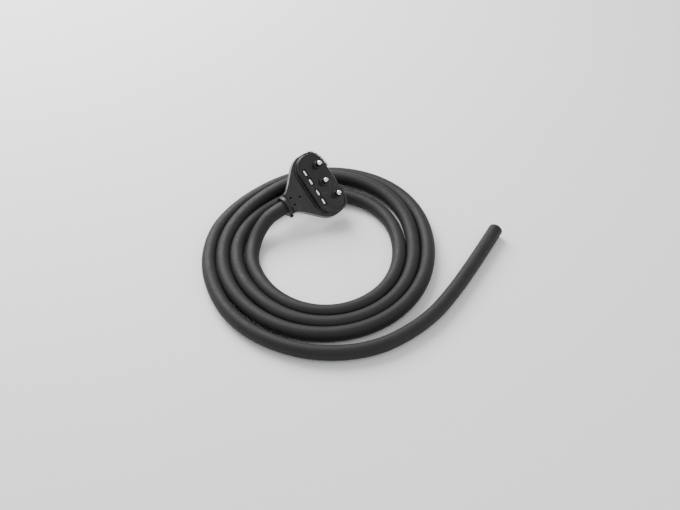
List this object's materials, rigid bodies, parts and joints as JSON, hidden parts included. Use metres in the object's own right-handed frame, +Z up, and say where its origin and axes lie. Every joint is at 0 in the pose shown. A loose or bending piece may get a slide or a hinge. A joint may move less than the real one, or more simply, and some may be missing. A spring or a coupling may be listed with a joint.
{
  "type": "pool cleaner head with hose",
  "caption": "Flared black suction head with steel rollers and ball casters, on a thick black hose that lies coiled with a loose end.",
  "frame": {"origin": "on the floor, on the flat underside of the coiled hose, below the middle of the head", "axes": "+Z up; the head's neck points towards -X and -Y, and the hose's loose end lies towards +X"},
  "size_m": [0.5221, 0.447, 0.1039],
  "materials": {
    "hose": "matte, lightly textured black-grey",
    "shell": "satin gloss black",
    "sole": "satin black",
    "seal": "matte black",
    "bristle": "dark grey nylon",
    "steel": "polished stainless steel",
    "screw": "darkened steel"
  },
  "bodies": {
    "cleaner": {"hose_coil": "hose", "hose_lead": "hose", "hose_tail": "hose", "back_shell": "shell", "face_shell": "shell", "shell_seal": "seal", "sole_plate": "sole", "roller_keeper": "sole", "bristle_strip_right": "bristle", "bristle_strip_left": "bristle", "hose_adaptor": "sole", "adaptor_o_ring": "seal", "neck_collar": "sole", "collar_screw": "screw", "shell_screw_1": "screw", "shell_screw_2": "screw", "shell_screw_3": "screw", "shell_screw_4": "screw", "ball_cup_1": "sole", "ball_ring_1": "seal", "grub_screw_1": "screw", "ball_cup_2": "sole", "ball_ring_2": "seal", "grub_screw_2": "screw", "ball_cup_3": "sole", "ball_ring_3": "seal", "grub_screw_3": "screw"},
    "roller_1_body": {"roller_1": "steel"},
    "roller_2_body": {"roller_2": "steel"},
    "roller_3_body": {"roller_3": "steel"},
    "roller_4_body": {"roller_4": "steel"},
    "ball_1_body": {"ball_1": "steel"},
    "ball_2_body": {"ball_2": "steel"},
    "ball_3_body": {"ball_3": "steel"}
  },
  "joints": [
    {"name": "roller_1_spin", "type": "hinge", "parent": "cleaner", "child": "roller_1_body", "pos_m": [-0.01886, -0.03977, 0.08413], "axis": [0.5472, -0.5587, -0.6232], "continuous": true},
    {"name": "roller_2_spin", "type": "hinge", "parent": "cleaner", "child": "roller_2_body", "pos_m": [-0.00901, -0.04983, 0.07292], "axis": [0.5472, -0.5587, -0.6232], "continuous": true},
    {"name": "roller_3_spin", "type": "hinge", "parent": "cleaner", "child": "roller_3_body", "pos_m": [0.0033, -0.0624, 0.0589], "axis": [0.5472, -0.5587, -0.6232], "continuous": true},
    {"name": "roller_4_spin", "type": "hinge", "parent": "cleaner", "child": "roller_4_body", "pos_m": [0.01315, -0.07246, 0.04768], "axis": [0.5472, -0.5587, -0.6232], "continuous": true},
    {"name": "ball_1_spin", "type": "hinge", "parent": "cleaner", "child": "ball_1_body", "pos_m": [0.00638, -0.02858, 0.09908], "axis": [0.5472, -0.5587, -0.6232], "continuous": true},
    {"name": "ball_2_spin", "type": "hinge", "parent": "cleaner", "child": "ball_2_body", "pos_m": [0.0176, -0.05066, 0.07898], "axis": [0.5472, -0.5587, -0.6232], "continuous": true},
    {"name": "ball_3_spin", "type": "hinge", "parent": "cleaner", "child": "ball_3_body", "pos_m": [0.04031, -0.06322, 0.06044], "axis": [0.5472, -0.5587, -0.6232], "continuous": true}
  ]
}
